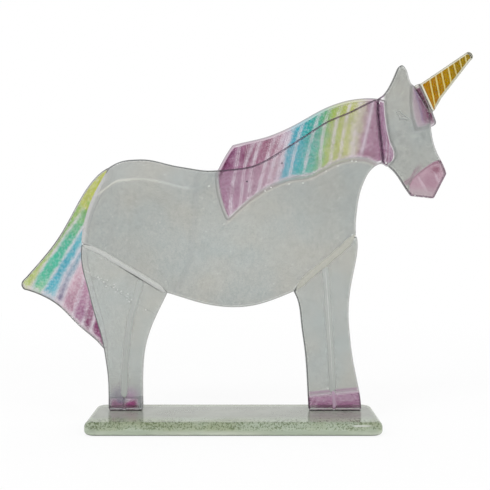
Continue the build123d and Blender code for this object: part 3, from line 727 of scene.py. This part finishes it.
def fade_rim(build, distance, reach=0.012, pale=(226, 219, 224)):
    """Thin the colour out towards the clear rim; the distance and reach are shares."""
    uneven = build.uneven(1.6, 0.3, roughness=0.6, offset=2.9)
    distance = build.plus(distance, build.product(uneven, reach))
    build.tint(build.spread(distance, reach, 0.0, 0.0, 0.8), pale)


def stained(build, ior=1.05):
    """Stained glass of the colour built so far, its surface faintly uneven."""
    build.bump(build.noise(1.2, 3.0), 0.05, 0.6)
    return build.finish(transmission=1.0, roughness=0.06, ior=ior)


def mane_colour():
    build = Nodes("mane_colours")
    powder(build, build.ramp(mane_place(build), MANE_STOPS))
    build.blot(MANE_BLOTS, soft=0.8)
    crest, lower = mane_gaps(build)
    distance = build.math("MINIMUM", build.minus(crest, 0.002), build.minus(lower, 0.010))
    outer = build.spread(crest, 0.11, 0.03)
    build.shade(outer, 0.94)
    pink = build.product(outer, build.above(build.x, PINK_SPAN[0], 0.02),
                         build.above(PINK_SPAN[1], build.x, 0.02))
    build.color = build.mix(pink, build.color, build.times(build.color, PINK_DEEPER))
    add_stripes(build, MANE_STRIPES)
    fade_rim(build, distance, pale=(216, 208, 214))
    return stained(build)


def cheek_colour():
    build = Nodes("cheek_colours")
    lean = build.product(build.minus(CHEEK_MIDDLE, build.z), CHEEK_SLANT)
    powder(build, build.ramp(build.minus(build.x, lean), CHEEK_STOPS))
    add_stripes(build, CHEEK_STRIPES, strength=0.75)
    return stained(build)


def tail_colour():
    build = Nodes("tail_colours")
    powder(build, tail_fields(build))
    add_stripes(build, TAIL_STRIPES, strength=0.8, where=build.spread(build.z, 0.59, 0.53))
    fade_rim(build, build.minus(tail_gap(build), 0.006), reach=0.02)
    return stained(build)


def horn_gold():
    build = Nodes("horn_gold")
    powder(build, build.ramp(build.x, HORN_STOPS), pale=(220, 180, 16))
    return stained(build)


def forelock_colour():
    build = Nodes("forelock_colours")
    lean = build.product(build.minus(build.z, FORELOCK_MIDDLE), FORELOCK_SLANT)
    place = build.plus(build.plus(build.x, lean), build.uneven(4, 0.002))
    powder(build, build.ramp(place, FORELOCK_STOPS), deep=0.3)
    foot = build.minus(build.z, build.curve(build.x, FORELOCK_FOOT))
    fade_rim(build, build.minus(foot, 0.008), reach=0.02)
    return stained(build)


def blotted(name, color, blots=(), pale=(232, 226, 232)):
    """Powdery colour with blots."""
    build = Nodes(name)
    powder(build, linear(color), pale)
    build.blot(blots)
    return stained(build)


def muzzle_pink():
    build = Nodes("muzzle_pink")
    powder(build, linear((184, 146, 162)), pale=(214, 196, 204), deep=0.6)
    build.tint(build.along(build.z, build.curve(build.x, MUZZLE_LINE), 0.012), NOSE_LINE, 0.85)
    build.blot(MUZZLE_BLOTS)
    build.tint(build.spot(*CHIN, soft=0.8), CHIN_TONE)
    # painted shade line and painted highlight rim at the muzzle's edges
    build.edge(linear((128, 112, 119)), linear((200, 188, 194)))
    return stained(build, ior=1.3)


# The coloured inlays of the mane and the tail, without the clear glass round them
COLOUR_MATERIALS = {}
for prefix, material in (("mane_", mane_colour()), ("tail_", tail_colour())):
    COLOUR_MATERIALS.update({name: material for name in nodes
                             if name.startswith(prefix) and name != prefix + "glass"})
COLOUR_MATERIALS["mane_cheek_glass"] = cheek_colour()
fore_hoof = blotted("fore_hoof_purple", (155, 102, 140), FORE_BLOTS)
hind_hoof = blotted("hind_hoof_purple", (176, 172, 178), HIND_BLOTS)
COLOUR_MATERIALS.update({
    "forelock_purple_glass": forelock_colour(),
    "horn_gold_bands": horn_gold(),
    "horn_cream_stripes": blotted("horn_cream", (240, 222, 150), pale=(250, 244, 214)),
    "fore_hoof_white_line": blotted("hoof_line", (214, 202, 214)),
    "fore_hoof_rear_glass": fore_hoof, "fore_hoof_front_glass": fore_hoof,
    "hind_hoof_rear_glass": hind_hoof, "hind_hoof_front_glass": hind_hoof,
})
NODE_MATERIALS["muzzle_pink_glass"] = muzzle_pink()

# Base

BASE_GREY, BASE_GREY_DEEP = (190, 193, 184), (176, 179, 169)
GREEN_TOP, GREEN_LOW, GREEN_CLOUD = (186, 196, 166), (232, 238, 222), (204, 216, 196)
DOT_GREEN = (98, 114, 70)
GLINT = ((360, 425.5), (9, 0.9))
GLINT_TONE = (250, 252, 246)
# painted shade for the base's bottom edge
BASE_BOTTOM_SHADE = (104, 112, 100)


def base_glass():
    """Clear float glass with a melted edge, green-grey fine bubbles along the edge's shoulder."""
    build = Nodes("base_float_glass")
    build.color = build.mix(build.spread(build.noise(14, 3.0), 0.3, 0.7), linear(BASE_GREY),
                            linear(BASE_GREY_DEEP))
    build.shade(build.spread(build.noise(1.4, 3.0, 0.7), 0.5, 0.75), 0.88)
    front = build.largest([build.spread(build.depth, -6.0 * MM, -20.0 * MM),
                           build.spread(build.depth, 17.0 * MM, 21.0 * MM),
                           build.spread(build.x, 0.175, 0.158),
                           build.spread(build.x, 0.770, 0.785)])
    build.shade(build.spread(build.x, 0.70, 0.80), 0.90)
    top = build.facing[2]
    side = build.spread(top, 0.985, 0.80)
    low = build.spread(build.height, 3.4 * MM, 1.2 * MM)
    green = build.mix(low, linear(GREEN_TOP), linear(GREEN_LOW))
    green = build.mix(build.spread(build.noise(9, 3.0, stretch=(0.5, 1, 1)), 0.35, 0.65), green,
                      linear(GREEN_CLOUD))
    build.color = build.mix(build.largest([side, front]), build.color, green)
    reach = build.product(build.largest([build.spread(top, 0.9995, 0.96), front]),
                          build.spread(build.height, 2.0 * MM, 3.8 * MM))
    dense = build.noise(16, 2.0, stretch=(1, 0.3, 0.3), offset=0.7)
    dots = build.noise(0.8, 2.0, 0.75, stretch=(1, 0.4, 1))
    dots = build.plus(dots, build.spread(dense, 0.3, 0.7, -0.05, 0.06))
    dots = build.spread(build.plus(dots, build.product(reach, 0.05)), 0.55, 0.64)
    build.tint(build.product(dots, reach), DOT_GREEN, 0.75)
    build.tint(build.spot(*GLINT, soft=0.4, level=BASE_EDGE), GLINT_TONE, 0.8)
    # painted shade: a dark line along the base's bottom edge
    build.tint(build.spread(build.height, 1.1 * MM, 0.3 * MM), BASE_BOTTOM_SHADE)
    build.bump(build.noise(8, 2.0), 0.08, 0.5)
    return build.finish(transmission=0.5, roughness=0.08, ior=1.2)


bond = clear_glass("clear_adhesive", (232, 230, 230), (190, 188, 188), (240, 238, 238))
NODE_MATERIALS.update({"base_plate": base_glass(), "hind_foot_bond": bond, "fore_foot_bond": bond})

for name, material in NODE_MATERIALS.items():
    slots = nodes[name].data.materials
    slots.clear()
    slots.append(material)

# New pieces

POCKET_SPACE = 0.03 * MM
MERGE_DISTANCE = 1e-7


def add_piece(name, build, material):
    """A new piece from a bmesh, which rides with the figure."""
    mesh = bpy.data.meshes.new(name)
    build.to_mesh(mesh)
    build.free()
    mesh.materials.append(material)
    piece = bpy.data.objects.new(name, mesh)
    scene.collection.objects.link(piece)
    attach(piece, "root")
    return piece


def stained_piece(name, material):
    """The coloured glass of a CAD node, a hair smaller, so that light passes its pocket's walls."""
    build = bmesh.new()
    build.from_mesh(nodes[name].data)
    bmesh.ops.remove_doubles(build, verts=build.verts, dist=MERGE_DISTANCE)
    bmesh.ops.recalc_face_normals(build, faces=build.faces)
    build.normal_update()
    for vert in build.verts:
        vert.co -= vert.normal * POCKET_SPACE
    piece = add_piece(name + "_stained", build, material)
    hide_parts(name)


for name, material in COLOUR_MATERIALS.items():
    stained_piece(name, material)

# Beads, bubbles and marks, among them painted highlights and a painted shadow

BEAD_SIDES = 12
BEAD_THINNEST = 0.08        # a bead's width at its ends, as a part of its full width
BLISTER_FLATNESS = 0.5


def smooth_path(points, steps):
    """Points of a smooth (Catmull-Rom) line through the given ones."""
    ends = [points[0] * 2 - points[1], *points, points[-1] * 2 - points[-2]]
    path = []
    for a, b, c, d in zip(ends, ends[1:], ends[2:], ends[3:]):
        for step in range(steps):
            t = step / steps
            path.append(0.5 * (2 * b + (c - a) * t + (2 * a - 5 * b + 4 * c - d) * t ** 2
                               + (3 * b - a - 3 * c + d) * t ** 3))
    return [*path, points[-1]]


def smooth_piece(name, build, material):
    bmesh.ops.recalc_face_normals(build, faces=build.faces)
    for face in build.faces:
        face.smooth = True
    add_piece(name, build, material)


def add_bead(build, points, width, height, wobble=0.12, ends=0.15, steps=10):
    """A low melted bead along a line on the front face, thinner at its ends."""
    path = smooth_path(points, steps)
    rings = []
    last = len(path) - 1
    for index, point in enumerate(path):
        ahead = path[min(index + 1, last)] - path[max(index - 1, 0)]
        across = Vector((ahead.z, 0, -ahead.x)).normalized()
        share = index / last
        taper = min(1.0, share / ends, (1 - share) / ends)
        size = max(BEAD_THINNEST, math.sin(taper * math.pi / 2))
        size *= 1 + random.uniform(-wobble, wobble)
        ring = []
        for side in range(BEAD_SIDES):
            angle = 2 * math.pi * side / BEAD_SIDES
            ring.append(build.verts.new(
                point + across * (width / 2 * MM * size * math.cos(angle))
                + Vector((0, -height * MM * size * math.sin(angle), 0))))
        rings.append(ring)
    for first, second in zip(rings, rings[1:]):
        for side in range(BEAD_SIDES):
            other = (side + 1) % BEAD_SIDES
            build.faces.new((first[side], first[other], second[other], second[side]))
    build.faces.new(list(reversed(rings[0])))
    build.faces.new(rings[-1])


def bead(name, lines, width, height, material, **settings):
    """Beads on the front face along lines of shares, as one piece."""
    build = bmesh.new()
    for line in lines:
        add_bead(build, [at_share(*place) for place in line], width, height, **settings)
    smooth_piece(name, build, material)


def bubbles(name, places, material):
    """Small blisters, specks and painted highlight glints: each place is a photograph pixel and a
    radius in millimetres.
    """
    build = bmesh.new()
    for x, y, radius in places:
        made = bmesh.ops.create_icosphere(build, subdivisions=2, radius=radius * MM)
        centre = at_pixel(x, y, PANEL_FRONT)
        turn = random.uniform(0.7, 1.2)
        for vert in made["verts"]:
            across, deep, up = vert.co
            vert.co = centre + Vector((across * turn, deep * BLISTER_FLATNESS, up / turn))
    smooth_piece(name, build, material)


def matt_glass(name, color, transmission=0.2, roughness=0.3, grain=0.10):
    build = Nodes(name)
    build.color = linear(color)
    build.shade(build.spread(build.noise(0.7, 3.0, 0.7), 0.35, 0.75), 1 - grain)
    build.bump(build.noise(0.8, 2.0), 0.03, 0.5)
    return build.finish(transmission, roughness, ior=1.45)


pale_seam = matt_glass("pale_seam", (206, 208, 204), grain=0.2)
beige_seam = matt_glass("beige_seam", (192, 192, 182), grain=0.2)
# painted shadow under the haunch seam
painted_seam_shadow = matt_glass("painted_seam_shadow", (96, 98, 95), transmission=0.1)
leg_seam = matt_glass("leg_seam", (186, 190, 186))
hoof_seam = matt_glass("hoof_seam", (196, 168, 190))
soft_line = matt_glass("soft_line", (206, 208, 205))
row_blister = matt_glass("row_blister", (224, 226, 222), roughness=0.2)
faint_line = matt_glass("faint_line", (196, 198, 195))
mark_line = matt_glass("mark_line", (168, 171, 168))
# white glass for the blisters and for the painted highlight glints
blister_and_glint = matt_glass("blister_and_glint", (240, 241, 238), roughness=0.15)
speck = matt_glass("dark_speck", (92, 76, 92), transmission=0.0)

# Seams as (x, z) shares
HAUNCH_SEAM = [(0.137, 0.463), (0.177, 0.441), (0.210, 0.417), (0.243, 0.392), (0.270, 0.372),
               (0.292, 0.355), (0.323, 0.329)]
SHOULDER_SEAM = [(0.610, 0.336), (0.629, 0.364), (0.651, 0.388), (0.673, 0.410), (0.695, 0.434),
                 (0.717, 0.458), (0.740, 0.491)]
FORE_SEAM_END = (0.691, 0.056)
HIND_SEAM_END = (0.230, 0.034)
# The eye's fine lines, and the bubbles, painted glints and specks below, are at photograph pixels
EYE_LINES = [
    ((394.8, 113.4), (397.2, 112.2), (399.4, 111.4)),
    ((395.6, 113.8), (397.4, 115.6), (398.8, 117.8), (398.2, 120.6)),
    ((399.4, 113.0), (403.0, 116.0), (407.6, 119.0)),
    ((407.6, 119.0), (405.5, 120.8), (402.5, 119.4), (398.2, 121.0)),
]


def moved(line, x, z=0.0):
    """The line of shares, moved by those shares."""
    return [(line_x + x, line_z + z) for line_x, line_z in line]


bead("haunch_seam_bead", [HAUNCH_SEAM], 2.6, 0.35, pale_seam, ends=0.12)
# painted highlight: a pale bead along the upper edge of the haunch seam
bead("haunch_seam_highlight", [moved(HAUNCH_SEAM[1:-1], 0.001, 0.001)], 0.8, 0.42, soft_line,
     ends=0.3, wobble=0.3)
# painted shadow: a dark bead under the haunch seam's lower edge
bead("haunch_seam_shadow", [moved(HAUNCH_SEAM[2:], -0.002, -0.0075)], 0.5, 0.36, painted_seam_shadow,
     ends=0.4, wobble=0.35)
bead("shoulder_seam_bead", [SHOULDER_SEAM], 3.2, 0.22, beige_seam, ends=0.12)
bead("leg_seam_beads", [[*FORE_MIDDLE[:-1], FORE_SEAM_END], [*HIND_MIDDLE[:-1], HIND_SEAM_END]],
     3.0, 0.05, leg_seam, ends=0.03, wobble=0.02)
bead("hoof_seam_beads", [[FORE_SEAM_END, (0.693, 0.030), (0.694, 0.006)]], 1.5, 0.10, hoof_seam,
     ends=0.1, wobble=0.05)
bead("fore_leg_line", [FORE_MIDDLE[:5]], 0.45, 0.16, soft_line, ends=0.2, wobble=0.3)
bead("hind_leg_line", [moved(HIND_MIDDLE[1:6], 0.002), moved(HIND_MIDDLE[2:6], -0.004)],
     0.4, 0.22, faint_line, ends=0.2, wobble=0.3)
bead("eye_mark", [[share_at(*place) for place in line] for line in EYE_LINES], 0.35, 0.14,
     mark_line, ends=0.1, steps=4, wobble=0.3)

ROW_COUNT = 44
ROW_START, ROW_RUN, ROW_SCATTER = (88, 272), (56, 37), (4, 3)
ROW_RADII = (0.10, 0.14, 0.2, 0.36)
SCATTER_COUNT = 50
SCATTER_X, SCATTER_Y, SCATTER_RADII = (110, 350), (185, 290), (0.08, 0.16)
# The barrel's lowest pixel, and how much it rises for each pixel to either side
BELLY_X, BELLY_Y, BELLY_RISE = 235, 290, 0.12
# painted highlights: white glints on the rims of the mane, the neck gap, the shoulder seam and the
# chin
RIM_GLINTS = [(265, 191, 0.35), (271, 187.5, 0.28), (352, 161, 0.3), (356, 161.5, 0.28),
             (303, 183, 0.22), (289, 184, 0.22), (326, 171, 0.2), (338, 166, 0.2),
             (209, 186, 0.2), (386, 163, 0.4), (379.5, 103, 0.35), (352, 235, 0.3),
             (354, 239, 0.28), (415, 195.5, 0.3), (424, 197.5, 0.35), (428, 198, 0.25)]
SPECKS = [(282, 163, 0.42), (247, 181.5, 0.4), (223, 183, 0.2), (232, 168, 0.16),
          (280, 178, 0.14)]

row = []
for index in range(ROW_COUNT):
    part = index / (ROW_COUNT - 1)
    place = [start + run * part + random.uniform(-scatter, scatter)
             for start, run, scatter in zip(ROW_START, ROW_RUN, ROW_SCATTER)]
    row.append((*place, random.choice(ROW_RADII)))
scattered = [[random.uniform(*span) for span in (SCATTER_X, SCATTER_Y, SCATTER_RADII)]
             for _ in range(SCATTER_COUNT)]
inside = [(x, y, radius) for x, y, radius in scattered
          if y < BELLY_Y - abs(x - BELLY_X) * BELLY_RISE]
bubbles("surface_blisters_and_glints", RIM_GLINTS + inside, blister_and_glint)
bubbles("blister_row", row, row_blister)
bubbles("mane_specks", SPECKS, speck)

# Studio

WHITE = (1, 1, 1, 1)
WORLD_LIGHT = 0.88          # strength of the world's light on the object
FLOOR_HALF, FLOOR_LEVEL = 3.0, -0.0002
FLOOR_COLOR = (0.9, 0.9, 0.9, 1)
FADE_START, FADE_END = 0.10, 0.55       # metres from the middle over which the floor turns white
FADE_LOW = 0.86
LAMP_TARGET = Vector((0, 0, 0.09))
SENSOR_WIDTH = 36.0


def white_for_eye(tree):
    """1 for rays from the camera and for rays that glass passes on or mirrors."""
    path = add_node(tree, "ShaderNodeLightPath").outputs
    last = path["Is Camera Ray"]
    for name in ("Is Glossy Ray", "Is Transmission Ray"):
        both = add_node(tree, "ShaderNodeMath", {0: last, 1: path[name]}, operation="MAXIMUM")
        last = both.outputs[0]
    return last


def make_world():
    world = bpy.data.worlds.new("studio")
    world.use_nodes = True
    tree = world.node_tree
    tree.nodes.clear()
    light, white = [add_node(tree, "ShaderNodeBackground",
                             {"Color": WHITE, "Strength": strength}).outputs[0]
                    for strength in (WORLD_LIGHT, 1.0)]
    mix = add_node(tree, "ShaderNodeMixShader", {0: white_for_eye(tree), 1: light, 2: white})
    add_node(tree, "ShaderNodeOutputWorld", {0: mix.outputs[0]})
    scene.world = world


def make_floor():
    """A pale floor that turns to plain white away from the object, and keeps its shadow."""
    mesh = bpy.data.meshes.new("studio_floor")
    corners = [(-1, -1), (1, -1), (1, 1), (-1, 1)]
    mesh.from_pydata([(x * FLOOR_HALF, y * FLOOR_HALF, FLOOR_LEVEL) for x, y in corners], [],
                     [(0, 1, 2, 3)])
    floor = bpy.data.objects.new("studio_floor", mesh)
    scene.collection.objects.link(floor)
    material = bpy.data.materials.new("studio_floor")
    material.use_nodes = True
    tree = material.node_tree
    tree.nodes.clear()
    matt = add_node(tree, "ShaderNodeBsdfDiffuse", {"Color": FLOOR_COLOR})
    glow = add_node(tree, "ShaderNodeEmission", {"Color": WHITE, "Strength": 1.0})
    place = add_node(tree, "ShaderNodeTexCoord").outputs["Object"]
    far = add_node(tree, "ShaderNodeVectorMath", {0: place}, operation="LENGTH").outputs["Value"]
    fade = add_node(tree, "ShaderNodeMapRange",
                    {0: far, 1: FADE_START, 2: FADE_END, 3: FADE_LOW, 4: 1.0},
                    interpolation_type="SMOOTHSTEP").outputs[0]
    share = add_node(tree, "ShaderNodeMath", {0: white_for_eye(tree), 1: fade},
                     operation="MULTIPLY").outputs[0]
    mix = add_node(tree, "ShaderNodeMixShader",
                   {0: share, 1: matt.outputs[0], 2: glow.outputs[0]})
    add_node(tree, "ShaderNodeOutputMaterial", {0: mix.outputs[0]})
    mesh.materials.append(material)


def make_lamp(name, place, size, power):
    data = bpy.data.lights.new(name, "AREA")
    data.shape = "RECTANGLE"
    data.size, data.size_y = size
    data.energy = power
    lamp = bpy.data.objects.new(name, data)
    scene.collection.objects.link(lamp)
    lamp.location = place
    lamp.rotation_euler = (LAMP_TARGET - lamp.location).to_track_quat("-Z", "Y").to_euler()


def make_camera():
    data = bpy.data.cameras.new("camera")
    data.sensor_width = SENSOR_WIDTH
    data.lens = SENSOR_WIDTH * FOCAL_PIXELS / IMAGE_SIZE
    data.shift_x = (IMAGE_SIZE / 2 - AXIS_PIXEL) / IMAGE_SIZE
    data.shift_y = (HORIZON_PIXEL - IMAGE_SIZE / 2) / IMAGE_SIZE
    data.clip_start, data.clip_end = 0.01, 20
    camera = bpy.data.objects.new("camera", data)
    scene.collection.objects.link(camera)
    camera.location = [value * MM for value in CAMERA_PLACE]
    camera.rotation_euler = (math.pi / 2, 0, 0)
    scene.camera = camera


make_world()
make_floor()
make_lamp("key_lamp", (-0.5, -0.7, 0.9), (0.35, 0.35), 3.0)
make_lamp("fill_lamp", (0.6, -0.7, 0.5), (0.25, 0.4), 1.5)
make_camera()
scene.view_settings.view_transform = "Standard"
